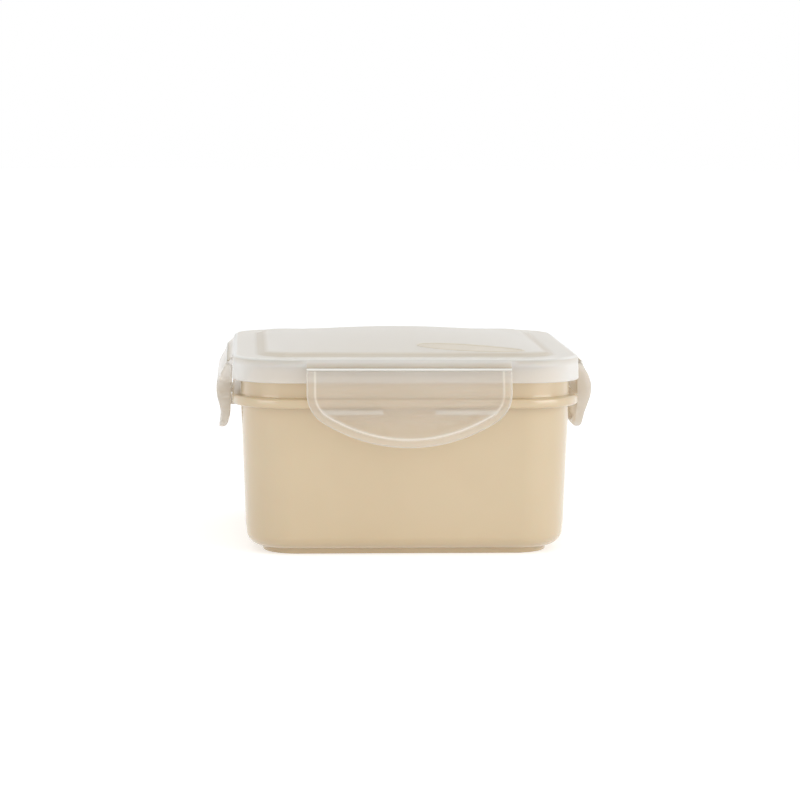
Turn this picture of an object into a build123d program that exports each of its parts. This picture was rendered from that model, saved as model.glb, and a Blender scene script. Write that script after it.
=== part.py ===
from build123d import *
from math import radians, tan
import os

# Square food box with a four-flap snap-on lid.  Lengths in millimetres, angles
# in degrees.  Z is up, the origin is under the middle of the foot ring, and the
# lid, seal and flaps are drawn closed.

# ---------------------------------------------------------------- box body
BODY_HALF = 71.1           # middle of the box to the outside of the wall at the rim
BODY_CORNER = 22.5
BODY_TOP = 81.5            # top of the wall, where the seal presses
BODY_DRAFT = 2.1           # lean of the walls below the rim
BODY_WALL = 2.0
BODY_FLOOR = 2.2
BODY_EDGE_ROUND = 6.5      # outer round between wall and floor
COLLAR_HEIGHT = 17.4       # underside of the rim flange to the top of the wall
RIM_REACH = 3.9            # wall to the outer edge of the rim flange
RIM_THICKNESS = 4.3
RIM_EDGE_ROUND = 1.3
FOOT_INSET = 7.1           # lower edge of the wall to the foot ring
FOOT_CORNER = 14.7
FOOT_HEIGHT = 2.5
FOOT_WIDTH = 3.0

# ---------------------------------------------------------------- lid
LID_WALL = 1.4
LID_CORNER = 23.2
SKIRT_DEPTH = 10.3         # lid rim face down to the lower edge of the skirt
SKIRT_DRAFT = 2.8
SKIRT_CLEARANCE = 2.4      # box wall to the skirt at the skirt's lower edge
LID_EDGE_ROUND = 1.2
PLUG_DEPTH = 5.1           # rib that goes down inside the box wall
PLUG_CLEARANCE = 1.0
PANEL_BASE_INSET = 10.8    # lid rim to the foot of the panel's sloping step
PANEL_STEP_RUN = 5.4
PANEL_STEP_RISE = 1.6
PANEL_CORNER = 8.0
PANEL_CROWN = 5.0          # rise of the panel's middle above its edge

# ---------------------------------------------------------------- seal
SEAL_HEIGHT = 2.6
SEAL_CLEARANCE = 0.2       # plug rib to the seal, and seal to the skirt

# ---------------------------------------------------------------- flaps
HINGE_OUT = 2.4            # hinge line outside the rim's edge
HINGE_DROP = 4.2           # hinge line below the lid's rim face
BEAD_RADIUS = 0.5
HINGE_FIT = 0.06           # running clearance of the flap round the hinge bead
WEB_THICKNESS = 1.3        # sloping web from the lid to the hinge, at the lid
WEB_TIP = 0.8              # the same at the hinge
FLAP_HALF_WIDTH = 43.5
FLAP_LENGTH = 33.0         # hinge line to the bottom of the curved edge
FLAP_EDGE_RADIUS = 69.0    # radius of the curved lower edge
FLAP_CORNER = 15.0
FLAP_SHEET = 1.4
FLAP_NECK = 0.6            # sheet thickness where it meets the hinge bead
SHOULDER_DROP = 2.1        # the sheet reaches its full thickness this far down
SHOULDER_OUT = 1.6
BULGE_OUT = 6.9            # flap's widest place, outside the rim's edge
BULGE_DROP = 11.5
WAIST_OUT = 5.1            # flap's narrowest place
WAIST_DROP = 23.1
TIP_OUT = 6.2              # flared lip
BORDER_WIDTH = 3.5         # thick border round the sides and lower edge
BORDER_BACK_TOP = 0.3      # border's inner face at the shoulder, outside the rim's edge
BORDER_BACK_WAIST = 0.8    # the same at the waist
BORDER_TIP = 2.0           # border's thickness at the lip
CATCH_HOOK = 1.5           # reach of the catch under the rim
CATCH_HEIGHT = 1.8
CATCH_GAP = 0.1            # catch to the underside of the rim
CATCH_LENGTH = 26.0
CATCH_SPACING = 22.2       # clear distance between the two catches of a flap

# ---------------------------------------------------------------- worked-out places
RIM_UNDERSIDE = BODY_TOP - COLLAR_HEIGHT
RIM_HALF = BODY_HALF + RIM_REACH
RIM_CORNER = BODY_CORNER + RIM_REACH
BODY_LEAN = (RIM_UNDERSIDE - FOOT_HEIGHT) * tan(radians(BODY_DRAFT))
FOOT_HALF = BODY_HALF - BODY_LEAN - FOOT_INSET
SEAL_TOP = BODY_TOP + SEAL_HEIGHT
LID_TOP = SEAL_TOP + LID_WALL
SKIRT_BOTTOM = LID_TOP - SKIRT_DEPTH
SKIRT_HALF = BODY_HALF + SKIRT_CLEARANCE + LID_WALL
LID_RIM_HALF = SKIRT_HALF - SKIRT_DEPTH * tan(radians(SKIRT_DRAFT))
PLUG_HALF = BODY_HALF - BODY_WALL - PLUG_CLEARANCE
PLUG_CORNER = BODY_CORNER - BODY_WALL - PLUG_CLEARANCE
HINGE_X = RIM_HALF + HINGE_OUT
HINGE_Z = LID_TOP - HINGE_DROP
FLAP_BOTTOM = HINGE_Z - FLAP_LENGTH
CATCH_TOP = RIM_UNDERSIDE - CATCH_GAP
SIDES = ["right", "back", "left", "front"]    # each a quarter turn after the one before


def plate(half, corner, bottom, height, lean=0.0):
    """Rounded-square block standing on z = bottom; it narrows upward by the lean angle."""
    outline = Plane.XY.offset(bottom) * RectangleRounded(2 * half, 2 * half, corner)
    return extrude(outline, amount=height, taper=lean)


def ring(half, corner, width, bottom, height):
    """Rounded-square ring of the given radial width."""
    outer = plate(half, corner, bottom, height)
    inner = plate(half - width, corner - width, bottom, height)
    return outer - inner


def turned(shape, side):
    """A shape drawn on the right-hand side, turned about Z to the named side."""
    return Rot(0, 0, SIDES.index(side) * 360 / len(SIDES)) * shape


def level_edges(solid, height):
    """Edges of a solid that lie wholly at one height."""
    return solid.edges().filter_by_position(Axis.Z, height - 0.01, height + 0.01)


# ---------------------------------------------------------------- box body

def drafted_tub(half, corner, floor_height, edge_round):
    """Block with leaning walls from the rim's underside down to its rounded floor edge."""
    outline = Plane.XY.offset(RIM_UNDERSIDE) * RectangleRounded(2 * half, 2 * half, corner)
    tub = extrude(outline, amount=floor_height - RIM_UNDERSIDE, taper=BODY_DRAFT)
    return fillet(level_edges(tub, floor_height), edge_round)


def box_body():
    """Tub with foot ring, outer rim flange and the collar that stands into the lid."""
    collar_height = BODY_TOP - RIM_UNDERSIDE
    outer = drafted_tub(BODY_HALF, BODY_CORNER, FOOT_HEIGHT, BODY_EDGE_ROUND)
    outer += plate(BODY_HALF, BODY_CORNER, RIM_UNDERSIDE, collar_height)
    flange = plate(RIM_HALF, RIM_CORNER, RIM_UNDERSIDE, RIM_THICKNESS)
    flange = fillet(level_edges(flange, RIM_UNDERSIDE), RIM_EDGE_ROUND)
    flange = fillet(level_edges(flange, RIM_UNDERSIDE + RIM_THICKNESS), RIM_EDGE_ROUND)
    outer += flange
    outer += ring(FOOT_HALF, FOOT_CORNER, FOOT_WIDTH, 0, FOOT_HEIGHT + BODY_FLOOR / 2)
    inner_half = BODY_HALF - BODY_WALL
    inner_corner = BODY_CORNER - BODY_WALL
    cavity_floor = FOOT_HEIGHT + BODY_FLOOR
    cavity = drafted_tub(inner_half, inner_corner, cavity_floor, BODY_EDGE_ROUND - BODY_WALL)
    cavity += plate(inner_half, inner_corner, RIM_UNDERSIDE, collar_height)
    return outer - cavity


# ---------------------------------------------------------------- lid

def crowned_panel(half, corner, step_base, crown_top):
    """Raised panel: a sloping step, then a low vault cut by two crossed cylinders."""
    base_half = half + PANEL_STEP_RUN
    base = RectangleRounded(2 * base_half, 2 * base_half, corner + PANEL_STEP_RUN)
    edge = RectangleRounded(2 * half, 2 * half, corner)
    step_top = step_base + PANEL_STEP_RISE
    step = loft([Plane.XY.offset(step_base) * base, Plane.XY.offset(step_top) * edge])
    rise = crown_top - step_top
    radius = (half**2 + rise**2) / (2 * rise)
    middle = crown_top - radius
    vault = plate(half, corner, step_top, rise)
    vault &= Pos(0, 0, middle) * Rot(90, 0, 0) * Cylinder(radius, 2 * RIM_HALF)
    vault &= Pos(0, 0, middle) * Rot(0, 90, 0) * Cylinder(radius, 2 * RIM_HALF)
    return step + vault


def hinge_web():
    """Sloping web on the +X side, from the lid's edge down to the hinge bead."""
    root = (LID_RIM_HALF - LID_EDGE_ROUND, LID_TOP - WEB_THICKNESS / 2)
    middle = Line(root, (HINGE_X, HINGE_Z))
    across = (middle % 0).rotate(Axis.Z, 90)
    thick = across * (WEB_THICKNESS / 2)
    thin = across * (WEB_TIP / 2)
    corners = [middle @ 0 + thick, middle @ 1 + thin, middle @ 1 - thin, middle @ 0 - thick]
    outline = Plane.XZ * make_face(Polyline(*corners, close=True))
    return extrude(outline, FLAP_HALF_WIDTH, both=True) - bead()


def bead(clearance=0.0):
    """Round bead along the hinge line on the +X side."""
    length = 2 * FLAP_HALF_WIDTH
    return Pos(HINGE_X, 0, HINGE_Z) * Rot(90, 0, 0) * Cylinder(BEAD_RADIUS + clearance, length)


def lid():
    """Top plate with raised panel, flaring skirt, plug rib and four hinge webs."""
    shell = plate(SKIRT_HALF, LID_CORNER, SKIRT_BOTTOM, SKIRT_DEPTH, SKIRT_DRAFT)
    shell = fillet(level_edges(shell, LID_TOP), LID_EDGE_ROUND)
    inner_half = SKIRT_HALF - LID_WALL
    inner_corner = LID_CORNER - LID_WALL
    hollow = plate(inner_half, inner_corner, SKIRT_BOTTOM, SKIRT_DEPTH - LID_WALL, SKIRT_DRAFT)
    panel_half = SKIRT_HALF - PANEL_BASE_INSET - PANEL_STEP_RUN
    crown_top = LID_TOP + PANEL_STEP_RISE + PANEL_CROWN
    panel = crowned_panel(panel_half, PANEL_CORNER, LID_TOP, crown_top)
    panel_hollow = crowned_panel(panel_half, PANEL_CORNER, SEAL_TOP, crown_top - LID_WALL)
    webs = [turned(hinge_web(), side) for side in SIDES]
    plug = ring(PLUG_HALF, PLUG_CORNER, LID_WALL, SEAL_TOP - PLUG_DEPTH, PLUG_DEPTH)
    solid = shell + panel
    for web in webs:
        solid += web
    return solid - hollow - panel_hollow + plug


def seal_ring():
    """Flat silicone ring between the lid's plate and the top of the box wall."""
    half = LID_RIM_HALF - LID_WALL - SEAL_CLEARANCE
    width = half - SEAL_CLEARANCE - PLUG_HALF
    corner = PLUG_CORNER + SEAL_CLEARANCE + width
    return ring(half, corner, width, BODY_TOP, SEAL_HEIGHT)


# ---------------------------------------------------------------- flaps, drawn on the +X side

def from_hinge(out, drop):
    """Point of the flap's profile: distance outside the rim's edge, distance below the hinge."""
    return (RIM_HALF + out, HINGE_Z - drop)


def sheet_edge(thickness, neck):
    """S-shaped face of the sheet: neck, shoulder, bulge, waist and flared tip."""
    return Spline(
        from_hinge(HINGE_OUT + neck, BEAD_RADIUS / 2),
        from_hinge(HINGE_OUT + SHOULDER_OUT - thickness, SHOULDER_DROP),
        from_hinge(BULGE_OUT - thickness, BULGE_DROP),
        from_hinge(WAIST_OUT - thickness, WAIST_DROP),
        from_hinge(TIP_OUT - thickness, FLAP_LENGTH),
    )


def sheet_profile():
    """Section of the plain sheet."""
    outer = sheet_edge(0, FLAP_NECK / 2)
    inner = sheet_edge(FLAP_SHEET, -FLAP_NECK / 2)
    return make_face([outer, Line(outer @ 1, inner @ 1), inner, Line(inner @ 0, outer @ 0)])


def border_profile():
    """Section of the thick border: the sheet's outer face and a straight back."""
    outer = sheet_edge(0, FLAP_NECK / 2)
    back_top = from_hinge(BORDER_BACK_TOP, SHOULDER_DROP)
    back_bottom = from_hinge(BORDER_BACK_WAIST, WAIST_DROP)
    tip = from_hinge(TIP_OUT - BORDER_TIP, FLAP_LENGTH)
    lip = Spline(back_bottom, tip, tangents=[(0, -1), (1, -1)])
    return make_face([
        outer,
        Line(outer @ 1, lip @ 1),
        lip,
        Line(back_top, back_bottom),
        Line(back_top, outer @ 0),
    ])


def shield(inset):
    """Flap outline seen from the side it faces: straight sides and a curved lower edge."""
    half = FLAP_HALF_WIDTH - inset
    bottom = FLAP_BOTTOM + inset
    radius = FLAP_EDGE_RADIUS - inset
    side_foot = bottom + radius - (radius**2 - half**2) ** 0.5
    top = LID_TOP + inset
    curve = ThreePointArc((-half, side_foot), (0, bottom), (half, side_foot))
    sides = Polyline((half, side_foot), (half, top), (-half, top), (-half, side_foot))
    outline = make_face([curve, sides])
    lower = outline.vertices().sort_by(Axis.Y)[:2]
    return fillet(lower, FLAP_CORNER - inset)


def through(outline):
    """Prism of a flap outline along X, from the middle of the box to well outside the flap."""
    return extrude(Plane.YZ * outline, amount=2 * HINGE_X)


def flap():
    """Sheet with a thick border, cut round its hinge bead."""
    sheet = extrude(Plane.XZ * sheet_profile(), FLAP_HALF_WIDTH, both=True)
    border = extrude(Plane.XZ * border_profile(), FLAP_HALF_WIDTH, both=True)
    solid = (sheet & through(shield(0))) + (border & through(shield(0) - shield(BORDER_WIDTH)))
    return solid - bead(HINGE_FIT)


def catches(flap_solid):
    """Two bars on the flap's inner face that hook under the rim flange."""
    reach = CATCH_HOOK + BULGE_OUT
    height = CATCH_TOP - CATCH_HEIGHT / 2
    across = (CATCH_SPACING + CATCH_LENGTH) / 2
    bars = []
    for place in (-across, across):
        block = Pos(RIM_HALF - CATCH_HOOK + reach / 2, place, height)
        block *= Box(reach, CATCH_LENGTH, CATCH_HEIGHT)
        bars.append((block - flap_solid).solids().sort_by(Axis.X)[0])
    return Compound(children=bars)


# ---------------------------------------------------------------- write the pieces
os.makedirs("parts", exist_ok=True)
right_flap = flap()
right_catches = catches(right_flap)
pieces = {"box_body": box_body(), "lid": lid(), "seal_ring": seal_ring()}
for side in SIDES:
    pieces["hinge_" + side] = turned(bead(), side)
    pieces["flap_" + side] = turned(right_flap, side)
    pieces["catch_" + side] = turned(right_catches, side)
for node, piece in pieces.items():
    export_step(piece, "parts/" + node + ".step")
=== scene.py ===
"""Looks of a square snap-lid storage box: cream tub, frosted lid with four hinged flaps, silicone seal.

The box stands on z = 0 with its front flap towards -Y.  Sizes are in millimetres and become metres
when a mesh is made.
"""
import math

import bmesh
import bpy
import numpy as np
from mathutils import Matrix, Vector


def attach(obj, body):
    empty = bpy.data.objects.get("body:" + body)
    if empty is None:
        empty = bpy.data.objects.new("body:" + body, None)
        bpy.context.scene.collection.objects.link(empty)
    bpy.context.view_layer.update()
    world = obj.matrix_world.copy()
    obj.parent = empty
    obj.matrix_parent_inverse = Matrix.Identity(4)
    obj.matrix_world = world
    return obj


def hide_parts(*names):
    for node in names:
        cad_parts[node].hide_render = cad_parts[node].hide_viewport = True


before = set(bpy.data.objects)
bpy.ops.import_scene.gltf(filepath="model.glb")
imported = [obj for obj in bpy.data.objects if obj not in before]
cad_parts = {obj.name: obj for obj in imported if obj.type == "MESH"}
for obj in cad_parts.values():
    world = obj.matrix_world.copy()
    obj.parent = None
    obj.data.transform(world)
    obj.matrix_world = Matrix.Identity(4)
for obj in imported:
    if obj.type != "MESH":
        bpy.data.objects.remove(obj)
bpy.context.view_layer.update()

MM = 0.001
HAIR = 0.01                                    # slack for comparing two lengths
WELD = 1e-7                                    # points closer than this, in metres, are one point
SMOOTH_ANGLE = 40.0                            # edges sharper than this, in degrees, stay crisp
NEXT_ROW = 1.5                                 # distance from a rounded edge to the next row of points
SIDES = ["right", "back", "left", "front"]    # each a quarter turn after the one before

# ---------------------------------------------------------------- sizes of the tub
BODY_HALF, BODY_CORNER, BODY_TOP = 71.1, 22.5, 81.5
BODY_WALL, BODY_FLOOR, BODY_DRAFT = 2.0, 2.2, 2.1
BODY_EDGE_ROUND = 6.5
BODY_LIP_ROUND = 0.7
RIM_REACH, RIM_THICKNESS, RIM_EDGE_ROUND, RIM_UNDERSIDE = 3.9, 4.3, 1.3, 64.1
RIM_FILLET = 0.5
FOOT_HALF, FOOT_CORNER, FOOT_HEIGHT, FOOT_WIDTH = 61.74, 14.7, 2.5, 3.0
FOOT_ROUND = 0.6
FOOT_TURN, FOOT_FLARE = 0.3, 0.1               # small turn where the foot meets the underside
WALL_START = 12.0                              # height where the outer wall runs straight

# ---------------------------------------------------------------- sizes of the lid
LID_TOP, LID_WALL, LID_CORNER = 85.5, 1.4, 23.2
# the skirt leans a little less than in the CAD, so that no line of light shows behind a flap's border
SKIRT_BOTTOM, SKIRT_HALF, SKIRT_DRAFT = 75.2, 74.9, 2.0
LID_EDGE_ROUND, SKIRT_LIP_ROUND = 1.2, 0.4
PLUG_HALF, PLUG_CORNER, PLUG_BOTTOM = 68.1, 19.5, 79.0
SEAL_BOTTOM, SEAL_TOP = 81.5, 84.1
SEAL_HALF, SEAL_CORNER, SEAL_WIDTH, SEAL_ROUND = 72.79, 24.2, 4.49, 0.7
SEAL_GROOVE = 0.5
PANEL_BASE, PANEL_EDGE, PANEL_CORNER = 64.1, 58.7, 8.0
PANEL_RISE, PANEL_CROWN = 1.6, 5.0
WEB_THICKNESS, WEB_TIP = 1.3, 0.8
WEB_HALF_WIDTH = 43.48
WEB_BLEND = 0.3                                # distance over which the web's mark rises from 0 to 1
OVAL_MIDDLE, OVAL_LONG, OVAL_WIDE, OVAL_TILT = (28.0, -50.5), 23.0, 6.2, -11.0
OVAL_BEAD, OVAL_HEIGHT = 1.2, 0.3

# ---------------------------------------------------------------- sizes of a flap, on the +X side
RIM_HALF = BODY_HALF + RIM_REACH
HINGE_X, HINGE_Z = 77.4, 81.3
BEAD_RADIUS = 0.5
FLAP_HALF_WIDTH, FLAP_BOTTOM, FLAP_EDGE_RADIUS, FLAP_CORNER = 43.5, 48.3, 69.0, 15.0
FLAP_TOP = HINGE_Z - 0.62
FLAP_EDGE_ROUND = 0.55
SHEET_THIN, SHEET_THICK, SHEET_THICKENS = 0.6, 1.4, 2.5
BORDER_WIDTH = 3.5
BORDER_FILLET = 0.5
BORDER_THICK, EDGE_THICK = 0.04, 0.42           # milkiness of the border and its outline; the sheet's is 0
# the step's line is a painted highlight: extra milkiness along the border's step, strongest round the curved
# lower edge
STEP_HIGHLIGHT_WIDTH, STEP_HIGHLIGHT_TOP, STEP_HIGHLIGHT_FADE = 0.45, 68.0, 6.0
STEP_HIGHLIGHT_FAINT = 0.3                          # what is left of the step's line along the straight sides
BORDER_ROWS = (1.2, 1.9, 2.5)                  # insets of the rows of points on the border
FILLET_ROWS = (-1.2, -0.8, -0.4, -0.15, 0.15, 0.4, 0.8, 1.2, 1.8)    # and over its fillet, in fillets
THINNEST = 0.02                                # a flap is nowhere thinner than this
FAR_INSIDE = 99.0                              # inset of the rows that are past the border
CATCH_TOP, CATCH_HEIGHT, CATCH_TIP = 64.0, 1.8, 73.5
CATCH_INNER, CATCH_OUTER = 11.1, 37.1
CATCH_ROUND = 0.3
CATCH_SINK = 0.1                               # how far a bar reaches into its sheet


# ---------------------------------------------------------------- mesh tools

def make_mesh(name, points, faces, smooth_angle=SMOOTH_ANGLE, recalculate=True, marks=None):
    """Closed mesh from an (n, 3) array in millimetres and a list of faces, its normals turned outward.

    marks, if given, holds arrays of one value per point, from 0 to 1, kept as named attributes.
    """
    mesh = bpy.data.meshes.new(name)
    mesh.from_pydata((np.asarray(points) * MM).tolist(), [], faces)
    mesh.update()
    for mark, values in (marks or {}).items():
        mesh.attributes.new(mark, "FLOAT", "POINT").data.foreach_set("value", np.ascontiguousarray(values))
    piece = bpy.data.objects.new(name, mesh)
    bpy.context.scene.collection.objects.link(piece)
    if recalculate:
        weld_and_orient(mesh)
    finish_shading(mesh, smooth_angle)
    return piece


def weld_and_orient(mesh):
    """Merges doubled points and turns every face outward."""
    work = bmesh.new()
    work.from_mesh(mesh)
    bmesh.ops.remove_doubles(work, verts=work.verts, dist=WELD)
    bmesh.ops.dissolve_degenerate(work, edges=work.edges, dist=WELD)
    bmesh.ops.recalc_face_normals(work, faces=work.faces)
    work.to_mesh(mesh)
    work.free()


def finish_shading(mesh, smooth_angle):
    """Smooth faces, with edges sharper than the angle left crisp."""
    mesh.polygons.foreach_set("use_smooth", np.ones(len(mesh.polygons), dtype=bool))
    mesh.set_sharp_from_angle(angle=math.radians(smooth_angle))
    mesh.update()


def rounded_square(half, corner, side_points=25, corner_points=24):
    """Rounded squares, one per row, that go anticlockwise from +X.

    x = half along a side, and half - corner + corner * cos(a) round a corner.  half and corner are
    arrays of n rows; the result is two (n, m) arrays.
    """
    half, corner = np.asarray(half)[:, None], np.asarray(corner)[:, None]
    straight = half - corner
    along = np.linspace(-1, 1, side_points)[None, :]
    angle = np.linspace(0, np.pi / 2, corner_points + 1)[None, 1:-1]
    side_x = np.concatenate([half + 0 * along, straight + corner * np.cos(angle)], axis=1)
    side_y = np.concatenate([straight * along, straight + corner * np.sin(angle)], axis=1)
    xs, ys = [], []
    for _ in SIDES:
        xs.append(side_x)
        ys.append(side_y)
        side_x, side_y = -side_y, side_x
    return np.concatenate(xs, axis=1), np.concatenate(ys, axis=1)


def ring_faces(rows, columns, close_rows=False):
    """Quads of a grid whose columns wrap round, and whose rows wrap too if close_rows is true."""
    last = rows if close_rows else rows - 1
    r = np.arange(last)[:, None]
    c = np.arange(columns)[None, :]
    r2, c2 = (r + 1) % rows, (c + 1) % columns
    quads = np.stack([r * columns + c, r * columns + c2, r2 * columns + c2, r2 * columns + c], axis=-1)
    return quads.reshape(-1, 4).tolist()


def loft(name, profile, close_rows=False, shape=None, row_marks=None, **options):
    """Carries a profile of (half, corner, z) rows round rounded squares.

    An open profile is closed by a point at the middle of its first and its last row.  shape, if
    given, is a function that moves the (rows, columns, 3) array of points.  row_marks holds named
    arrays of one value per row.
    """
    profile = np.asarray(profile, dtype=float)
    x, y = rounded_square(profile[:, 0], profile[:, 1])
    z = np.repeat(profile[:, 2:3], x.shape[1], axis=1)
    grid = np.stack([x, y, z], axis=-1)
    middles = profile[[0, -1], None, :] * (0, 0, 1)
    if shape is not None:
        grid, middles = shape(grid), shape(middles)
    rows, columns = grid.shape[:2]
    points = grid.reshape(-1, 3)
    faces = ring_faces(rows, columns, close_rows)
    if not close_rows:
        here = np.arange(columns)
        after = np.roll(here, -1)
        first, last = np.full(columns, len(points)), np.full(columns, len(points) + 1)
        end = (rows - 1) * columns
        faces += np.stack([after, here, first], axis=-1).tolist()
        faces += np.stack([end + here, end + after, last], axis=-1).tolist()
        points = np.concatenate([points, middles.reshape(-1, 3)])
    marks = {mark: np.append(np.repeat(values, columns), [] if close_rows else values[[0, -1]])
             for mark, values in (row_marks or {}).items()}
    return make_mesh(name, points, faces, marks=marks, **options)


def arc(centre_half, centre_z, radius, start, end, steps=6):
    """Points (half, z) of an arc in the section; angles in degrees, 0 outward and 90 upward."""
    a = np.radians(np.linspace(start, end, steps + 1))
    return list(zip(centre_half + radius * np.cos(a), centre_z + radius * np.sin(a)))


def concentric(points, half, corner):
    """Adds to each (half, z) point the corner radius that keeps it parallel to a rounded square."""
    return [(h, corner + h - half, z) for h, z in points]


def shrinking(half, corner, z, steps=10):
    """Rows that close a flat face towards its middle, from just inside the edge."""
    scale = np.linspace(1, 0, steps + 2)[1:-1]
    return [(half * s, corner * s, z) for s in scale]


def turned(points, side):
    """Points drawn on the right-hand side, turned about Z to the named side."""
    a = math.radians(90) * SIDES.index(side)
    c, s = round(math.cos(a)), round(math.sin(a))
    turn = np.array([[c, -s, 0], [s, c, 0], [0, 0, 1]])
    return np.asarray(points) @ turn.T


# ---------------------------------------------------------------- tub

def tub_profile():
    """Section of the tub from the middle of its underside, round the rim, to the middle of its floor."""
    lean = math.tan(math.radians(BODY_DRAFT))
    lower_half = BODY_HALF - (RIM_UNDERSIDE - FOOT_HEIGHT) * lean
    foot_inner = FOOT_HALF - FOOT_WIDTH
    foot = [(foot_inner, FOOT_HEIGHT)]
    foot += arc(foot_inner + FOOT_ROUND, FOOT_ROUND, FOOT_ROUND, 180, 270, 4)
    foot += arc(FOOT_HALF - FOOT_ROUND, FOOT_ROUND, FOOT_ROUND, 270, 360, 4)
    foot += [(FOOT_HALF, FOOT_HEIGHT - FOOT_TURN), (FOOT_HALF + FOOT_FLARE, FOOT_HEIGHT)]
    rows = shrinking(foot_inner, FOOT_CORNER - FOOT_WIDTH, FOOT_HEIGHT)[::-1]
    rows += concentric(foot, FOOT_HALF, FOOT_CORNER)
    side = arc(lower_half - BODY_EDGE_ROUND, FOOT_HEIGHT + BODY_EDGE_ROUND, BODY_EDGE_ROUND, 270, 358, 14)
    heights = np.linspace(WALL_START, RIM_UNDERSIDE - RIM_FILLET, 12)
    side += [(lower_half + (z - FOOT_HEIGHT) * lean, z) for z in heights]
    side += arc(BODY_HALF + RIM_FILLET, RIM_UNDERSIDE - RIM_FILLET, RIM_FILLET, 180, 90, 4)[1:]
    rim_half = RIM_HALF - RIM_EDGE_ROUND
    side += arc(rim_half, RIM_UNDERSIDE + RIM_EDGE_ROUND, RIM_EDGE_ROUND, 270, 360, 6)
    rim_top = RIM_UNDERSIDE + RIM_THICKNESS
    side += arc(rim_half, rim_top - RIM_EDGE_ROUND, RIM_EDGE_ROUND, 0, 90, 6)
    side += arc(BODY_HALF + RIM_FILLET, rim_top + RIM_FILLET, RIM_FILLET, 270, 180, 4)
    collar = np.linspace(rim_top + NEXT_ROW, BODY_TOP - BODY_LIP_ROUND - 0.5, 5)
    side += [(BODY_HALF, z) for z in collar]
    side += arc(BODY_HALF - BODY_LIP_ROUND, BODY_TOP - BODY_LIP_ROUND, BODY_LIP_ROUND, 0, 90, 5)
    inner_half = BODY_HALF - BODY_WALL
    side += arc(inner_half + BODY_LIP_ROUND, BODY_TOP - BODY_LIP_ROUND, BODY_LIP_ROUND, 90, 180, 5)
    floor_z = FOOT_HEIGHT + BODY_FLOOR
    inner_round = BODY_EDGE_ROUND - BODY_WALL
    inner_low = inner_half - (RIM_UNDERSIDE - floor_z) * lean
    side += [(inner_half, z) for z in np.linspace(BODY_TOP - 2, RIM_UNDERSIDE, 4)]
    side += [(inner_low + (z - floor_z) * lean, z) for z in np.linspace(RIM_UNDERSIDE - 3, floor_z + 6, 10)]
    side += arc(inner_low - inner_round, floor_z + inner_round, inner_round, 358, 270, 10)
    rows += concentric(side, BODY_HALF, BODY_CORNER)
    end_half, end_corner, _ = rows[-1]
    return rows + shrinking(end_half, end_corner, floor_z)


# ---------------------------------------------------------------- lid

def skirt_half(z):
    """Half width of the skirt's outer face at height z: h - (z - bottom) * tan(draft)."""
    return SKIRT_HALF - (z - SKIRT_BOTTOM) * math.tan(math.radians(SKIRT_DRAFT))


def crown(x, y):
    """Lift of the crowned panel: c * (1 - (x/a)^2) * (1 - (y/a)^2), and 0 past its edge a."""
    inside = np.clip(1 - (x / PANEL_EDGE) ** 2, 0, 1) * np.clip(1 - (y / PANEL_EDGE) ** 2, 0, 1)
    return PANEL_CROWN * inside


def panel_rows(base_z, steps=26):
    """Rows from the middle of the crowned panel out to the foot of its sloping edge."""
    scale = np.linspace(0, 1, steps + 1)[1:]
    top = base_z + PANEL_RISE
    rows = [(PANEL_EDGE * s, PANEL_CORNER * s, top) for s in scale]
    run = PANEL_BASE - PANEL_EDGE
    slope = (0.06, 0.5, 0.94, 1.0)
    return rows + [(PANEL_EDGE + run * s, PANEL_CORNER + run * s, top - PANEL_RISE * s) for s in slope]


def lid_profile():
    """Section of the lid: panel, rim, skirt, plug rib and the panel's hollow underside."""
    rim_half = skirt_half(LID_TOP)
    rows = panel_rows(LID_TOP)
    outer = [(PANEL_BASE + NEXT_ROW, LID_TOP), (rim_half - LID_EDGE_ROUND - 0.8, LID_TOP)]
    outer += arc(rim_half - LID_EDGE_ROUND, LID_TOP - LID_EDGE_ROUND, LID_EDGE_ROUND, 90, 6, 6)
    outer += [(skirt_half(z), z) for z in np.linspace(LID_TOP - 2, SKIRT_BOTTOM + 1, 6)]
    lip = SKIRT_LIP_ROUND
    outer += arc(SKIRT_HALF - lip, SKIRT_BOTTOM + lip, lip, 0, -90, 4)
    inner_half = SKIRT_HALF - LID_WALL
    outer += arc(inner_half + lip, SKIRT_BOTTOM + lip, lip, 270, 180, 4)
    outer += [(skirt_half(z) - LID_WALL, z) for z in np.linspace(SKIRT_BOTTOM + 1, SEAL_TOP, 6)]
    rows += concentric(outer, SKIRT_HALF, LID_CORNER)
    plug = [(PLUG_HALF, SEAL_TOP), (PLUG_HALF, SEAL_TOP - NEXT_ROW)]
    plug += arc(PLUG_HALF - lip, PLUG_BOTTOM + lip, lip, 0, -90, 4)
    plug += arc(PLUG_HALF - LID_WALL + lip, PLUG_BOTTOM + lip, lip, 270, 180, 4)
    plug += [(PLUG_HALF - LID_WALL, SEAL_TOP - NEXT_ROW), (PLUG_HALF - LID_WALL, SEAL_TOP)]
    rows += concentric(plug, PLUG_HALF, PLUG_CORNER)
    return rows + panel_rows(SEAL_TOP)[::-1]


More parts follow.
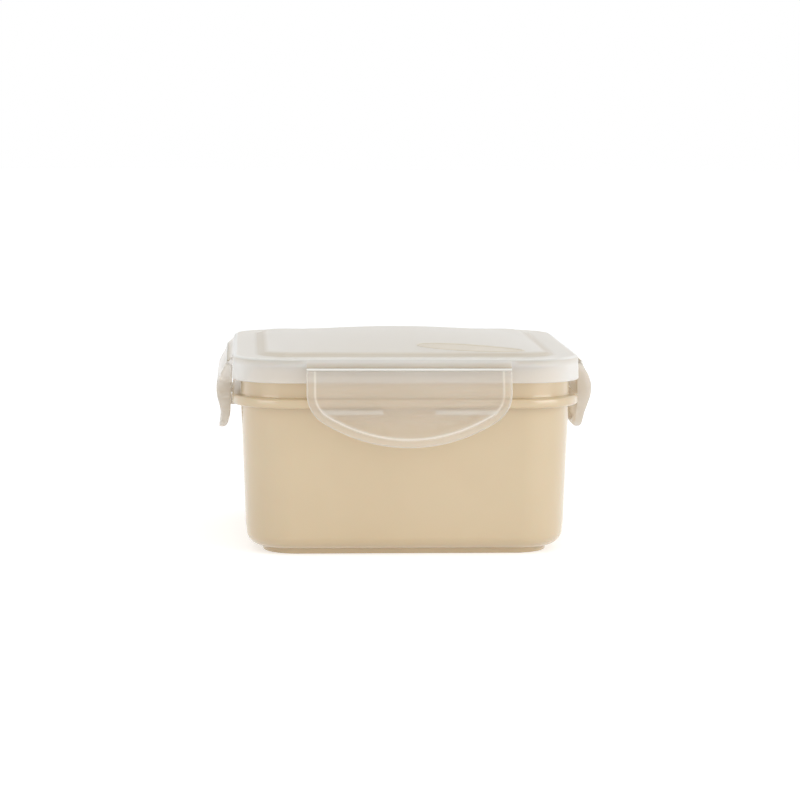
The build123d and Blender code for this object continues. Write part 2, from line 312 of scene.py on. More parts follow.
def lid_marks(profile):
    """Marks of the lid's rows, each a ramp over the half width or over the distance below the rim's top.

    They mark painted light: painted shade on the lower part of the panel's step, a painted highlight on the
    rim's edge, painted shade on the turn below it, and painted shade over the whole top.
    """
    half, _, z = np.array(profile).T
    foot = [PANEL_EDGE + 0.8, PANEL_EDGE + 2.6, PANEL_BASE - 0.4, PANEL_BASE + 0.4]
    step = np.interp(half, foot, [0, 1, 1, 0])
    down = LID_TOP - z
    edge = np.interp(down, [0, 0.15, 0.3, 0.6], [1, 1, 0.5, 0]) * (half > SKIRT_HALF - 2.2)
    turn = np.interp(down, [0.5, 0.8, 1.1, 1.9, 3.0], [0, 0.8, 1, 0.7, 0]) * (half > SKIRT_HALF - 0.9)
    return {"panel_step": step * (down < LID_WALL + HAIR), "rim_painted_highlight": edge, "rim_painted_shade": turn,
            "lid_top": np.interp(down, [0.05, 0.4], [1, 0])}


def lid_shape(grid):
    """Crowns the panel's outer face and its hollow underside alike."""
    x, y, z = np.moveaxis(grid, -1, 0)
    high = z >= SEAL_TOP + PANEL_RISE - HAIR
    on_panel = high & (np.maximum(abs(x), abs(y)) <= PANEL_EDGE + HAIR)
    return np.stack([x, y, z + np.where(on_panel, crown(x, y), 0)], axis=-1)


def seal_profile():
    """Section of the seal: rounded corners, and a shallow groove round its top and its underside."""
    inner, outer = SEAL_HALF - SEAL_WIDTH, SEAL_HALF
    low, high, r = SEAL_BOTTOM, SEAL_TOP, SEAL_ROUND
    middle, quarter = inner + SEAL_WIDTH / 2, SEAL_WIDTH / 8
    section = arc(outer - r, high - r, r, 0, 90, 5)
    section += [(middle + quarter, high), (middle, high - SEAL_GROOVE), (middle - quarter, high)]
    section += arc(inner + r, high - r, r, 90, 180, 5)
    section += arc(inner + r, low + r, r, 180, 270, 5)
    section += [(middle - quarter, low), (middle, low + SEAL_GROOVE), (middle + quarter, low)]
    section += arc(outer - r, low + r, r, 270, 360, 5)
    return concentric(section, SEAL_HALF, SEAL_CORNER)


def panel_height(x, y):
    """Height of the crowned panel's outer face."""
    return LID_TOP + PANEL_RISE + crown(x, y)


def oval_bead(turns=160, steps=12):
    """Low half-round bead carried round a tilted oval on the panel; its feet are sunk in the panel.

    At angle t the middle line is a*cos(t), b*sin(t), turned by the tilt; across it, at angle p, the
    bead is w*cos(p) wide to either side and h*sin(p) high.
    """
    t = np.linspace(0, 2 * np.pi, turns, endpoint=False)[:, None]
    p = np.linspace(-0.25 * np.pi, 1.25 * np.pi, steps)[None, :]
    normal = np.stack([OVAL_WIDE * np.cos(t), OVAL_LONG * np.sin(t)], axis=-1)
    normal = normal / np.linalg.norm(normal, axis=-1, keepdims=True)
    flat_x = OVAL_LONG * np.cos(t) + OVAL_BEAD / 2 * np.cos(p) * normal[..., 0]
    flat_y = OVAL_WIDE * np.sin(t) + OVAL_BEAD / 2 * np.cos(p) * normal[..., 1]
    tilt = math.radians(OVAL_TILT)
    x = OVAL_MIDDLE[0] + flat_x * math.cos(tilt) - flat_y * math.sin(tilt)
    y = OVAL_MIDDLE[1] + flat_x * math.sin(tilt) + flat_y * math.cos(tilt)
    z = panel_height(x, y) + OVAL_HEIGHT * np.sin(p)
    points = np.stack([x, y, z], axis=-1).reshape(-1, 3)
    return make_mesh("lid_oval_bead", points, ring_faces(turns, steps, close_rows=True), smooth_angle=60)


def web(side):
    """Sloping web from the lid's edge to the hinge: a wedge section along the side."""
    root = np.array([skirt_half(LID_TOP) - LID_EDGE_ROUND, LID_TOP - WEB_THICKNESS / 2])
    end = np.array([HINGE_X, HINGE_Z])
    along = (end - root) / np.linalg.norm(end - root)
    across = np.array([-along[1], along[0]])
    stop = end - along * BEAD_RADIUS / 2
    section = np.array([root + across * WEB_THICKNESS / 2, stop + across * WEB_TIP / 2,
                        stop - across * WEB_TIP / 2, root - across * WEB_THICKNESS / 2])
    points = [(x, y, z) for y in (-WEB_HALF_WIDTH, WEB_HALF_WIDTH) for x, z in section]
    faces = [[0, 1, 2, 3], [7, 6, 5, 4], [0, 4, 5, 1], [1, 5, 6, 2], [2, 6, 7, 3], [3, 7, 4, 0]]
    return make_mesh("web_" + side, turned(points, side), faces)


def join_solid(base, extras):
    """Unites closed pieces with the base into one closed piece and removes the extras."""
    for extra in extras:
        union = base.modifiers.new("union", "BOOLEAN")
        union.operation = "UNION"
        union.solver = "EXACT"
        union.object = extra
    evaluated = base.evaluated_get(bpy.context.evaluated_depsgraph_get())
    mesh = bpy.data.meshes.new_from_object(evaluated)
    base.modifiers.clear()
    base.data = mesh
    for extra in extras:
        bpy.data.objects.remove(extra)
    finish_shading(mesh, SMOOTH_ANGLE)
    return base


def mark_webs(mesh):
    """Marks the webs on the lid: the points whose max(|x|, |y|) is past the skirt's sloping face."""
    points = np.empty(3 * len(mesh.vertices), dtype=np.float32)
    mesh.vertices.foreach_get("co", points)
    x, y, z = points.reshape(-1, 3).T / MM
    outside = np.clip((np.maximum(np.abs(x), np.abs(y)) - skirt_half(z)) / WEB_BLEND, 0, 1)
    mesh.attributes.new("web", "FLOAT", "POINT").data.foreach_set("value", outside.astype(np.float32))


# ---------------------------------------------------------------- flaps, on the +X side

# knots of the sheet's outer face: distance below the hinge, distance outside the rim, slope
SHEET_KNOTS = np.array([(0.25, 2.70, 0.55), (2.6, 3.75, 0.48), (5.3, 5.30, 0.52), (8.0, 6.38, 0.27),
                        (11.5, 6.88, 0.0), (15.8, 6.42, -0.21), (20.2, 5.42, -0.18), (23.1, 5.10, 0.0),
                        (26.9, 5.28, 0.09), (29.5, 5.70, 0.14), (33.0, 6.16, 0.10)])
BACK_KNOTS = np.array([(0.25, 2.10, -1.2), (2.3, 0.16, -0.1), (5.0, 0.18, 0.03), (21.5, 0.80, 0.03),
                       (27.0, 1.55, 0.18), (30.5, 2.55, 0.45), (33.0, 4.25, 1.0)])


def hermite(knots, t):
    """Piecewise cubic through knots of (t, value, slope)."""
    i = np.clip(np.searchsorted(knots[:, 0], t) - 1, 0, len(knots) - 2)
    t0, v0, m0 = knots[i, 0], knots[i, 1], knots[i, 2]
    t1, v1, m1 = knots[i + 1, 0], knots[i + 1, 1], knots[i + 1, 2]
    h = t1 - t0
    s = (t - t0) / h
    return (v0 * (2 * s**3 - 3 * s**2 + 1) + m0 * h * (s**3 - 2 * s**2 + s)
            + v1 * (3 * s**2 - 2 * s**3) + m1 * h * (s**3 - s**2))


def sheet_outside(z):
    """Outer face of the sheet: x at height z."""
    return RIM_HALF + hermite(SHEET_KNOTS, HINGE_Z - z)


def sheet_inside(z):
    """Inner face of the sheet, which thins evenly towards the hinge."""
    grown = np.clip((HINGE_Z - z) / SHEET_THICKENS, 0, 1)
    return sheet_outside(z) - SHEET_THIN - (SHEET_THICK - SHEET_THIN) * grown


def border_back(z):
    """Inner face of the thick border."""
    return RIM_HALF + hermite(BACK_KNOTS, HINGE_Z - z)


def shield_outline(inset, side_points=26, corner_points=22, curve_points=110):
    """Flap outline from its top right corner, round the bottom, to its top left corner.

    The sides are straight, the corners are arcs about a fixed centre, and the lower edge is an arc
    of the edge radius; an inset shortens every radius by the same amount.  inset is an (n, 1) array.
    """
    radius, corner = FLAP_EDGE_RADIUS - inset, FLAP_CORNER - inset
    curve_z = FLAP_BOTTOM + FLAP_EDGE_RADIUS
    corner_y = FLAP_HALF_WIDTH - FLAP_CORNER
    corner_z = curve_z - math.sqrt((FLAP_EDGE_RADIUS - FLAP_CORNER) ** 2 - corner_y**2)
    meet = math.atan2(corner_z - curve_z, corner_y)
    side_z = np.linspace(FLAP_TOP, corner_z, side_points)[None, :-1]
    a = np.linspace(0, meet, corner_points)[None, :-1]
    b = np.linspace(meet, -math.pi / 2, curve_points)[None, :]
    right_y = np.concatenate([FLAP_HALF_WIDTH - inset + 0 * side_z, corner_y + corner * np.cos(a),
                              radius * np.cos(b)], axis=1)
    right_z = np.concatenate([side_z + 0 * inset, corner_z + corner * np.sin(a),
                              curve_z + radius * np.sin(b)], axis=1)
    y = np.concatenate([right_y, -right_y[:, -2::-1]], axis=1)
    z = np.concatenate([right_z, right_z[:, -2::-1]], axis=1)
    return y, z


def flap_points():
    """Outer and inner face of a flap as two (rows, columns, 3) grids, and its milkiness at each point, which
    includes a painted highlight along the border's step.

    The first rows lie at fixed insets from the outline; the others run straight from the last of
    these to the middle of the hinge line.  x is the outer face, or the inner face: the border's back
    up to the border's width, then a filleted step to the sheet.
    """
    r = FLAP_EDGE_ROUND
    rim = r * (1 - np.cos(np.radians([0, 22, 45, 67, 90])))
    step = BORDER_WIDTH + BORDER_FILLET * np.array(FILLET_ROWS)
    insets = np.concatenate([rim, BORDER_ROWS, step])[:, None]
    y, z = shield_outline(insets)
    inward = np.linspace(0, 1, 46)[1:, None]
    y = np.concatenate([y, y[-1:] * (1 - inward)])
    z = np.concatenate([z, z[-1:] + (FLAP_TOP - z[-1:]) * inward])
    depth = np.concatenate([insets, np.full((len(inward), 1), FAR_INSIDE)])
    edge = r - np.sqrt(np.clip(r**2 - np.clip(r - depth, 0, r) ** 2, 0, None))
    s = np.clip((depth - BORDER_WIDTH) / (2 * BORDER_FILLET) + 0.5, 0, 1)
    s = s * s * (3 - 2 * s)
    outside = sheet_outside(z) - edge
    back = np.minimum(border_back(z), sheet_inside(z))
    inside = back * (1 - s) + sheet_inside(z) * s + edge
    inside = np.minimum(inside, outside - THINNEST)
    # painted highlight: a stripe of extra milkiness along the border's step, fainter along the straight
    # sides
    curved = np.clip((STEP_HIGHLIGHT_TOP - z) / STEP_HIGHLIGHT_FADE, 0, 1)
    line = np.exp(-(((depth - BORDER_WIDTH) / STEP_HIGHLIGHT_WIDTH) ** 2))
    line = line * (STEP_HIGHLIGHT_FAINT + (1 - STEP_HIGHLIGHT_FAINT) * curved)
    outline = EDGE_THICK * np.clip(1 - depth / FLAP_EDGE_ROUND, 0, 1)
    thick = np.maximum(np.maximum(BORDER_THICK * (1 - s), line), outline)
    return np.stack([outside, y, z], axis=-1), np.stack([inside, y, z], axis=-1), thick


def grid_faces(rows, columns, offset=0):
    """Quads of an open grid."""
    r = np.arange(rows - 1)[:, None]
    c = np.arange(columns - 1)[None, :]
    corner = offset + r * columns + c
    quads = np.stack([corner, corner + 1, corner + columns + 1, corner + columns], axis=-1)
    return quads.reshape(-1, 4).tolist()


def flap(side):
    """Closed flap: the two faces, joined along the outline and along the hinge line."""
    outer, inner, thick = flap_points()
    rows, columns = outer.shape[:2]
    count = rows * columns
    faces = grid_faces(rows, columns) + grid_faces(rows, columns, count)
    outline = np.arange(columns)
    top_right, top_left = np.arange(rows) * columns, np.arange(rows) * columns + columns - 1
    for path in (outline, top_right, top_left):
        a, b = path[:-1], path[1:]
        faces += np.stack([a, b, b + count, a + count], axis=-1).tolist()
    points = np.concatenate([outer.reshape(-1, 3), inner.reshape(-1, 3)])
    # the thickness mark also carries the painted highlight along the border's step
    marks = {"thick": np.tile(thick.reshape(-1), 2)}
    return make_mesh("flap_" + side + "_sheet", turned(points, side), faces, smooth_angle=50, marks=marks)


def catch_bars(side):
    """Two bars whose outer ends follow the sheet's inner face; every edge gets a small bevel."""
    low, high = CATCH_TOP - CATCH_HEIGHT, CATCH_TOP
    points, faces = [], []
    box = [[0, 1, 3, 2], [4, 6, 7, 5], [0, 4, 5, 1], [2, 3, 7, 6], [0, 2, 6, 4], [1, 5, 7, 3]]
    back = sheet_inside(np.array([low, high])) + CATCH_SINK
    for near, far in ((-CATCH_OUTER, -CATCH_INNER), (CATCH_INNER, CATCH_OUTER)):
        faces += [[len(points) + i for i in face] for face in box]
        for y in (near, far):
            points += [(CATCH_TIP, y, low), (back[0], y, low), (CATCH_TIP, y, high), (back[1], y, high)]
    piece = make_mesh("catch_" + side + "_bars", turned(points, side), faces)
    bevel = piece.modifiers.new("bevel", "BEVEL")
    bevel.width = CATCH_ROUND * MM
    bevel.segments = 3
    return piece


# ---------------------------------------------------------------- materials

def colour(r, g, b):
    """Linear colour from 0-255 screen values."""
    c = np.array([r, g, b]) / 255
    linear = np.where(c <= 0.04045, c / 12.92, ((c + 0.055) / 1.055) ** 2.4)
    return (*linear.tolist(), 1.0)


def mottle_group():
    """Group: slow colour drift and a fine moulded grain, from object coordinates."""
    group = bpy.data.node_groups.new("moulded_surface", "ShaderNodeTree")
    face = group.interface
    face.new_socket("Drift Size", in_out="INPUT", socket_type="NodeSocketFloat").default_value = 18
    face.new_socket("Grain Size", in_out="INPUT", socket_type="NodeSocketFloat").default_value = 900
    face.new_socket("Dark", in_out="INPUT", socket_type="NodeSocketColor")
    face.new_socket("Light", in_out="INPUT", socket_type="NodeSocketColor")
    face.new_socket("Roughness Low", in_out="INPUT", socket_type="NodeSocketFloat").default_value = 0.3
    face.new_socket("Roughness High", in_out="INPUT", socket_type="NodeSocketFloat").default_value = 0.4
    face.new_socket("Colour", in_out="OUTPUT", socket_type="NodeSocketColor")
    face.new_socket("Roughness", in_out="OUTPUT", socket_type="NodeSocketFloat")
    face.new_socket("Grain", in_out="OUTPUT", socket_type="NodeSocketFloat")
    nodes, links = group.nodes, group.links
    inputs, outputs = nodes.new("NodeGroupInput"), nodes.new("NodeGroupOutput")
    coords = nodes.new("ShaderNodeTexCoord")
    drift, grain = nodes.new("ShaderNodeTexNoise"), nodes.new("ShaderNodeTexNoise")
    drift.inputs["Detail"].default_value = 3
    grain.inputs["Detail"].default_value = 2
    mix = nodes.new("ShaderNodeMix")
    mix.data_type = "RGBA"
    rough = nodes.new("ShaderNodeMapRange")
    spread = nodes.new("ShaderNodeMapRange")
    spread.inputs["From Min"].default_value = 0.3
    spread.inputs["From Max"].default_value = 0.7
    links.new(coords.outputs["Object"], drift.inputs["Vector"])
    links.new(coords.outputs["Object"], grain.inputs["Vector"])
    links.new(inputs.outputs["Drift Size"], drift.inputs["Scale"])
    links.new(inputs.outputs["Grain Size"], grain.inputs["Scale"])
    links.new(drift.outputs["Fac"], spread.inputs["Value"])
    links.new(spread.outputs["Result"], mix.inputs["Factor"])
    links.new(inputs.outputs["Dark"], mix.inputs["A"])
    links.new(inputs.outputs["Light"], mix.inputs["B"])
    links.new(spread.outputs["Result"], rough.inputs["Value"])
    links.new(inputs.outputs["Roughness Low"], rough.inputs["To Min"])
    links.new(inputs.outputs["Roughness High"], rough.inputs["To Max"])
    links.new(mix.outputs["Result"], outputs.inputs["Colour"])
    links.new(rough.outputs["Result"], outputs.inputs["Roughness"])
    links.new(grain.outputs["Fac"], outputs.inputs["Grain"])
    return group


def moulded(name, dark, light, rough=(0.3, 0.4), grain=(900, 0.00002, 0.15), **shader):
    """Moulded plastic: drifting colour and roughness, and a fine grain in the surface.

    rough is the lowest and the highest roughness; grain is its size, depth in metres and strength.
    """
    material = bpy.data.materials.new(name)
    material.use_nodes = True
    nodes, links = material.node_tree.nodes, material.node_tree.links
    principled = nodes["Principled BSDF"]
    surface = nodes.new("ShaderNodeGroup")
    surface.node_tree = MOTTLE
    surface.inputs["Dark"].default_value = dark
    surface.inputs["Light"].default_value = light
    surface.inputs["Grain Size"].default_value = grain[0]
    surface.inputs["Roughness Low"].default_value = rough[0]
    surface.inputs["Roughness High"].default_value = rough[1]
    bump = nodes.new("ShaderNodeBump")
    bump.inputs["Distance"].default_value = grain[1]
    bump.inputs["Strength"].default_value = grain[2]
    links.new(surface.outputs["Grain"], bump.inputs["Height"])
    links.new(bump.outputs["Normal"], principled.inputs["Normal"])
    links.new(surface.outputs["Colour"], principled.inputs["Base Color"])
    links.new(surface.outputs["Roughness"], principled.inputs["Roughness"])
    for socket, value in shader.items():
        principled.inputs[socket.replace("_", " ")].default_value = value
    return material


def thinner(material, mark, share):
    """Leaves only a share of the cover where the mark is 1."""
    nodes, links = material.node_tree.nodes, material.node_tree.links
    alpha = nodes["Principled BSDF"].inputs["Alpha"]
    cover = alpha.links[0].from_socket
    thin, both = nodes.new("ShaderNodeMapRange"), nodes.new("ShaderNodeMath")
    thin.inputs["To Min"].default_value = 1.0
    thin.inputs["To Max"].default_value = share
    both.operation = "MULTIPLY"
    links.new(marked(material, mark), thin.inputs["Value"])
    links.new(cover, both.inputs[0])
    links.new(thin.outputs["Result"], both.inputs[1])
    links.new(both.outputs["Value"], alpha)


def tinted(material, mask, tint, share):
    """Mixes a share of the tint into the colour where the mask is 1."""
    nodes, links = material.node_tree.nodes, material.node_tree.links
    colour_in = nodes["Principled BSDF"].inputs["Base Color"]
    plain = colour_in.links[0].from_socket
    amount, mix = nodes.new("ShaderNodeMath"), nodes.new("ShaderNodeMix")
    amount.operation = "MULTIPLY"
    amount.inputs[1].default_value = share
    mix.data_type = "RGBA"
    mix.inputs["B"].default_value = tint
    links.new(mask, amount.inputs[0])
    links.new(amount.outputs["Value"], mix.inputs["Factor"])
    links.new(plain, mix.inputs["A"])
    links.new(mix.outputs["Result"], colour_in)


def marked(material, mark):
    """Output of an attribute node that reads a mark."""
    where = material.node_tree.nodes.new("ShaderNodeAttribute")
    where.attribute_name = mark
    return where.outputs["Fac"]


def inside_oval(material):
    """1 inside the panel's oval and 0 outside: its length once scaled to a circle of radius 1."""
    nodes, links = material.node_tree.nodes, material.node_tree.links
    coords, place = nodes.new("ShaderNodeTexCoord"), nodes.new("ShaderNodeMapping")
    place.vector_type = "TEXTURE"
    place.inputs["Location"].default_value = (OVAL_MIDDLE[0] * MM, OVAL_MIDDLE[1] * MM, 0)
    place.inputs["Rotation"].default_value = (0, 0, math.radians(OVAL_TILT))
    place.inputs["Scale"].default_value = (OVAL_LONG * MM, OVAL_WIDE * MM, 1)
    flat, out = nodes.new("ShaderNodeVectorMath"), nodes.new("ShaderNodeVectorMath")
    mask = nodes.new("ShaderNodeMapRange")
    flat.operation, out.operation = "MULTIPLY", "LENGTH"
    flat.inputs[1].default_value = (1, 1, 0)
    mask.interpolation_type = "SMOOTHSTEP"
    for socket, value in (("From Min", 0.9), ("From Max", 1.0), ("To Min", 1.0), ("To Max", 0.0)):
        mask.inputs[socket].default_value = value
    links.new(coords.outputs["Object"], place.inputs["Vector"])
    links.new(place.outputs["Vector"], flat.inputs[0])
    links.new(flat.outputs["Vector"], out.inputs[0])
    links.new(out.outputs["Value"], mask.inputs["Value"])
    return mask.outputs["Result"]


def milky_group():
    """Group: cover of a milky sheet, from what the material tells it of the ray that meets the sheet.

    square = thin + (thick - thin) * thickness mark; front = square + (slanting - square) * slant.
    back = back cover * smoothstep(slant).  Cover = front or back, times the shade on a shadow ray.
    """
    group = bpy.data.node_groups.new("milky_cover", "ShaderNodeTree")
    for socket in ("Slant", "Back Facing", "Shadow Ray", "Thickness Mark", "Thin Cover", "Thick Cover",
                   "Slanting Cover", "Back Cover", "Shade"):
        group.interface.new_socket(socket, in_out="INPUT", socket_type="NodeSocketFloat")
    group.interface.new_socket("Cover", in_out="OUTPUT", socket_type="NodeSocketFloat")
    nodes, links = group.nodes, group.links
    inputs, outputs = nodes.new("NodeGroupInput"), nodes.new("NodeGroupOutput")
    square, front = nodes.new("ShaderNodeMapRange"), nodes.new("ShaderNodeMapRange")
    back, share = nodes.new("ShaderNodeMapRange"), nodes.new("ShaderNodeMapRange")
    cover, both = nodes.new("ShaderNodeMix"), nodes.new("ShaderNodeMath")
    back.interpolation_type = "SMOOTHSTEP"
    back.inputs["From Min"].default_value = 0.12
    back.inputs["From Max"].default_value = 0.7
    share.inputs["To Min"].default_value = 1.0
    both.operation = "MULTIPLY"
    for socket, into in (("Thickness Mark", square.inputs["Value"]), ("Thin Cover", square.inputs["To Min"]),
                         ("Thick Cover", square.inputs["To Max"]), ("Slant", front.inputs["Value"]),
                         ("Slanting Cover", front.inputs["To Max"]), ("Slant", back.inputs["Value"]),
                         ("Back Cover", back.inputs["To Max"]), ("Back Facing", cover.inputs["Factor"]),
                         ("Shadow Ray", share.inputs["Value"]), ("Shade", share.inputs["To Max"])):
        links.new(inputs.outputs[socket], into)
    links.new(square.outputs["Result"], front.inputs["To Min"])
    links.new(front.outputs["Result"], cover.inputs["A"])
    links.new(back.outputs["Result"], cover.inputs["B"])
    links.new(cover.outputs["Result"], both.inputs[0])
    links.new(share.outputs["Result"], both.inputs[1])
    links.new(both.outputs["Value"], outputs.inputs["Cover"])
    return group


def milky(material, thin_cover, thick_cover=None, slant_cover=1.0, back_cover=0.9, shade=0.2):
    """See-through where the plastic is met square on, milky where it is met at a slant or is thick.

    A sheet has a front and a back face: the front one carries its cover, and the back one shows only
    where it slants.  The plastic spreads light forward more than it stops it, so its shade is only a
    share of its cover.
    """
    nodes, links = material.node_tree.nodes, material.node_tree.links
    slant, facing = nodes.new("ShaderNodeLayerWeight"), nodes.new("ShaderNodeNewGeometry")
    path, cover = nodes.new("ShaderNodeLightPath"), nodes.new("ShaderNodeGroup")
    slant.inputs["Blend"].default_value = 0.5
    cover.node_tree = MILKY
    for socket, value in (("Thin Cover", thin_cover), ("Slanting Cover", slant_cover),
                          ("Back Cover", back_cover), ("Shade", shade)):
        cover.inputs[socket].default_value = value
    if thick_cover is not None:
        cover.inputs["Thick Cover"].default_value = thick_cover
        links.new(marked(material, "thick"), cover.inputs["Thickness Mark"])
    links.new(slant.outputs["Facing"], cover.inputs["Slant"])
    links.new(facing.outputs["Backfacing"], cover.inputs["Back Facing"])
    links.new(path.outputs["Is Shadow Ray"], cover.inputs["Shadow Ray"])
    links.new(cover.outputs["Cover"], nodes["Principled BSDF"].inputs["Alpha"])
    return material


MOTTLE = mottle_group()
MILKY = milky_group()
PLASTIC_IOR, SILICONE_IOR, COAT_IOR = 1.49, 1.42, 1.8
SCATTER = 0.002                                # how deep light spreads in the plastics, in metres
FROST_ROUGH = (0.29, 0.34)
# thin milky plastic spreads light through its whole thickness
LIGHT_PASSES = {"IOR": PLASTIC_IOR, "Subsurface_Weight": 1.0, "Subsurface_Radius": (1.0, 1.0, 1.0),
                "Subsurface_Scale": SCATTER}
CREAM = moulded("cream_polypropylene", colour(211, 187, 147), colour(217, 194, 155), rough=(0.3, 0.37),
                IOR=PLASTIC_IOR, Subsurface_Weight=0.12, Subsurface_Scale=SCATTER, Coat_Weight=1.0,
                Coat_Roughness=0.17, Coat_IOR=COAT_IOR)
FROSTED = milky(moulded("frosted_polypropylene", colour(240, 233, 223), colour(245, 239, 231),
                        rough=FROST_ROUGH, **LIGHT_PASSES),
                thin_cover=0.31, thick_cover=0.92, slant_cover=0.85)
CATCH_PLASTIC = milky(moulded("frosted_catch_polypropylene", colour(240, 233, 222), colour(245, 239, 230),
                              rough=FROST_ROUGH, **LIGHT_PASSES), thin_cover=0.56)
LID_PLASTIC = milky(moulded("frosted_lid_polypropylene", colour(241, 239, 235), colour(246, 244, 240),
                            rough=FROST_ROUGH, **LIGHT_PASSES), thin_cover=0.62)
# painted shade: the lid's top is drawn warmer and darker than the rest of the same plastic
tinted(LID_PLASTIC, marked(LID_PLASTIC, "lid_top"), colour(226, 212, 188), share=0.4)
# painted shade: a darker tan line on the lower part of the panel's step
tinted(LID_PLASTIC, marked(LID_PLASTIC, "panel_step"), colour(214, 198, 168), share=0.5)
# painted highlight: a pale line along the rim's top edge
tinted(LID_PLASTIC, marked(LID_PLASTIC, "rim_painted_highlight"), colour(252, 248, 240), share=1.0)
# painted shade: a darker band on the turn below the rim's edge
tinted(LID_PLASTIC, marked(LID_PLASTIC, "rim_painted_shade"), colour(212, 204, 190), share=0.7)
tinted(LID_PLASTIC, inside_oval(LID_PLASTIC), colour(236, 216, 184), share=0.4)
# painted shade: the webs are drawn in a darker beige than the rest of the lid
tinted(LID_PLASTIC, marked(LID_PLASTIC, "web"), colour(204, 190, 166), share=1.0)
thinner(LID_PLASTIC, "panel_step", share=0.86)
thinner(LID_PLASTIC, "web", share=0.7)
# the bead's own plastic, drawn in a darker tan as a painted shadow line round the oval
OVAL_PLASTIC = moulded("oval_bead_polypropylene_painted_shade", colour(226, 216, 198), colour(231, 222, 206),
                       rough=FROST_ROUGH, IOR=PLASTIC_IOR)
WHITENED = moulded("whitened_hinge", colour(240, 238, 232), colour(247, 245, 240), rough=(0.3, 0.4),
                   IOR=PLASTIC_IOR)
SILICONE = moulded("white_silicone", colour(226, 224, 218), colour(233, 231, 226), rough=(0.5, 0.6),
                   grain=(1600, 0.00002, 0.2), IOR=SILICONE_IOR, Subsurface_Weight=0.2,
                   Subsurface_Scale=SCATTER)


def dress(piece, body, material, slot, *nodes):
    """Gives a piece its material and body, and hides the CAD nodes that it stands for; slot is not used."""
    piece.data.materials.clear()
    piece.data.materials.append(material)
    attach(piece, body)
    if nodes:
        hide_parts(*nodes)


# ---------------------------------------------------------------- put the pieces together
tub = loft("tub", tub_profile())
dress(tub, "box", CREAM, "cream_plastic", "box_body")

lid_rows = lid_profile()
lid_shell = loft("lid_shell", lid_rows, shape=lid_shape, row_marks=lid_marks(lid_rows))
lid_shell = join_solid(lid_shell, [web(side) for side in SIDES])
mark_webs(lid_shell.data)
dress(lid_shell, "lid", LID_PLASTIC, "clear_frosted_plastic", "lid")
dress(oval_bead(), "lid", OVAL_PLASTIC, "clear_frosted_plastic")

for side in SIDES:
    dress(flap(side), "flap_" + side, FROSTED, "clear_frosted_plastic", "flap_" + side)
    dress(catch_bars(side), "flap_" + side, CATCH_PLASTIC, "clear_frosted_plastic", "catch_" + side)
    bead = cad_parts["hinge_" + side]
    bead.data.materials.clear()
    bead.data.materials.append(WHITENED)
dress(loft("seal", seal_profile(), close_rows=True), "lid", SILICONE, "silicone", "seal_ring")

# ---------------------------------------------------------------- floor, light and camera
FLOOR_HALF = 6000.0
FLOOR_GLOW = 0.5
FLOOR_GREY = 0.86
AMBIENT = 0.68
CAMERA_PLACE = (-68.47, -1198.01, 195.48)
CAMERA_YAW, CAMERA_PITCH, CAMERA_ROLL = 0.0575, 0.1127, 0.0054
CAMERA_LENS = 120.15


def seen_directly(nodes, links):
    """1 for a camera, glossy or transmission ray and 0 for any other."""
    path = nodes.new("ShaderNodeLightPath")
    mirrored, seen = nodes.new("ShaderNodeMath"), nodes.new("ShaderNodeMath")
    mirrored.operation = seen.operation = "MAXIMUM"
    links.new(path.outputs["Is Glossy Ray"], mirrored.inputs[0])
    links.new(path.outputs["Is Transmission Ray"], mirrored.inputs[1])
    links.new(path.outputs["Is Camera Ray"], seen.inputs[0])
    links.new(mirrored.outputs["Value"], seen.inputs[1])
    return seen


def white_where_seen(nodes, links, shader, strength):
    """Adds plain white to a shader for the rays that see it directly."""
    seen = seen_directly(nodes, links)
    glow = nodes.new("ShaderNodeEmission")
    level = nodes.new("ShaderNodeMath")
    level.operation = "MULTIPLY"
    level.inputs[1].default_value = strength
    links.new(seen.outputs["Value"], level.inputs[0])
    links.new(level.outputs["Value"], glow.inputs["Strength"])
    both = nodes.new("ShaderNodeAddShader")
    links.new(shader, both.inputs[0])
    links.new(glow.outputs["Emission"], both.inputs[1])
    return both.outputs["Shader"]


def make_floor():
    """White floor that still takes the box's shadow."""
    corners = [(-FLOOR_HALF, -FLOOR_HALF, 0), (FLOOR_HALF, -FLOOR_HALF, 0),
               (FLOOR_HALF, FLOOR_HALF, 0), (-FLOOR_HALF, FLOOR_HALF, 0)]
    floor = make_mesh("floor", corners, [[0, 1, 2, 3]], recalculate=False)
    material = bpy.data.materials.new("white_floor")
    material.use_nodes = True
    nodes, links = material.node_tree.nodes, material.node_tree.links
    principled = nodes["Principled BSDF"]
    principled.inputs["Base Color"].default_value = (FLOOR_GREY, FLOOR_GREY, FLOOR_GREY, 1)
    principled.inputs["Roughness"].default_value = 0.9
    principled.inputs["Specular IOR Level"].default_value = 0.1
    shader = white_where_seen(nodes, links, principled.outputs["BSDF"], FLOOR_GLOW)
    links.new(shader, nodes["Material Output"].inputs["Surface"])
    floor.data.materials.append(material)


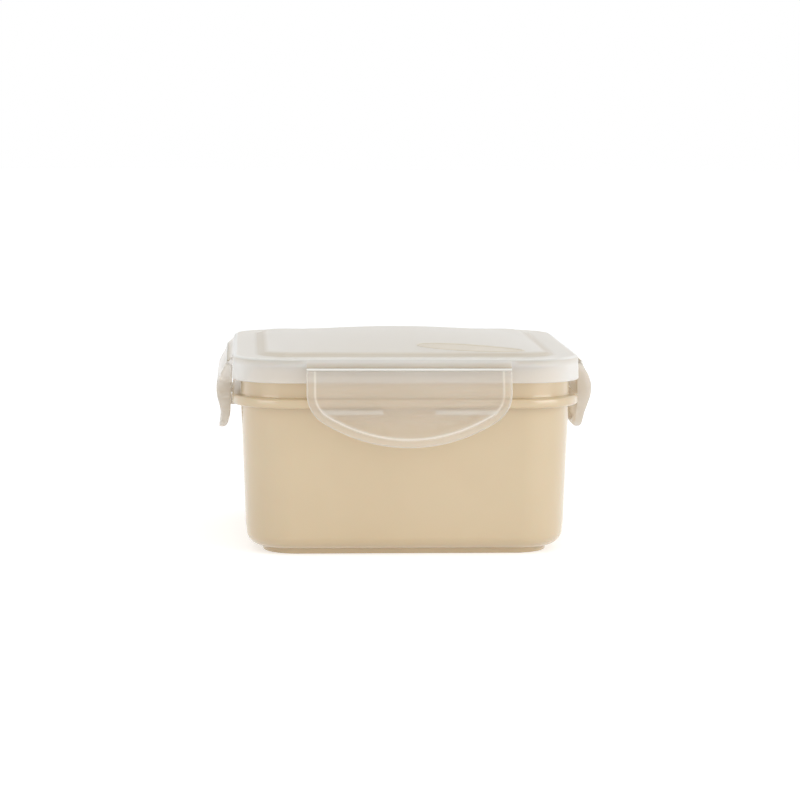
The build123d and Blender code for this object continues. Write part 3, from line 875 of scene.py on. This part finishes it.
def make_world():
    """Even pale light; what sees it directly sees plain white."""
    world = bpy.data.worlds.new("studio")
    bpy.context.scene.world = world
    world.use_nodes = True
    nodes, links = world.node_tree.nodes, world.node_tree.links
    seen = seen_directly(nodes, links)
    level = nodes.new("ShaderNodeMapRange")
    level.inputs["To Min"].default_value = AMBIENT
    level.inputs["To Max"].default_value = 1.0
    links.new(seen.outputs["Value"], level.inputs["Value"])
    background = nodes["Background"]
    background.inputs["Color"].default_value = (1, 1, 1, 1)
    links.new(level.outputs["Result"], background.inputs["Strength"])


def soft_lamp(name, place, size, power):
    """Square area lamp at a place in millimetres, aimed at the middle of the box."""
    data = bpy.data.lights.new(name, "AREA")
    data.shape = "SQUARE"
    data.size = size * MM
    data.energy = power
    lamp = bpy.data.objects.new(name, data)
    lamp.location = Vector(place) * MM
    lamp.rotation_euler = (Vector((0, 0, 45 * MM)) - lamp.location).to_track_quat("-Z", "Y").to_euler()
    bpy.context.scene.collection.objects.link(lamp)


def make_camera():
    """Camera turned by yaw to +X, then pitch down, then roll."""
    yaw, pitch, roll = CAMERA_YAW, CAMERA_PITCH, CAMERA_ROLL
    ahead = Vector((math.sin(yaw) * math.cos(pitch), math.cos(yaw) * math.cos(pitch), -math.sin(pitch)))
    level = Vector((math.cos(yaw), -math.sin(yaw), 0))
    up = level.cross(ahead)
    right = level * math.cos(roll) + up * math.sin(roll)
    top = up * math.cos(roll) - level * math.sin(roll)
    data = bpy.data.cameras.new("camera")
    data.sensor_width = 36
    data.lens = CAMERA_LENS
    data.clip_start, data.clip_end = 0.01, 100
    camera = bpy.data.objects.new("camera", data)
    turn = Matrix((right, top, -ahead)).transposed().to_4x4()
    camera.matrix_world = Matrix.Translation(Vector(CAMERA_PLACE) * MM) @ turn
    bpy.context.scene.collection.objects.link(camera)
    bpy.context.scene.camera = camera


make_floor()
make_world()
soft_lamp("key", place=(960, -720, 400), size=960, power=5.3)
soft_lamp("fill", place=(-960, -740, 350), size=800, power=2.4)
make_camera()
bpy.context.scene.view_settings.view_transform = "Standard"
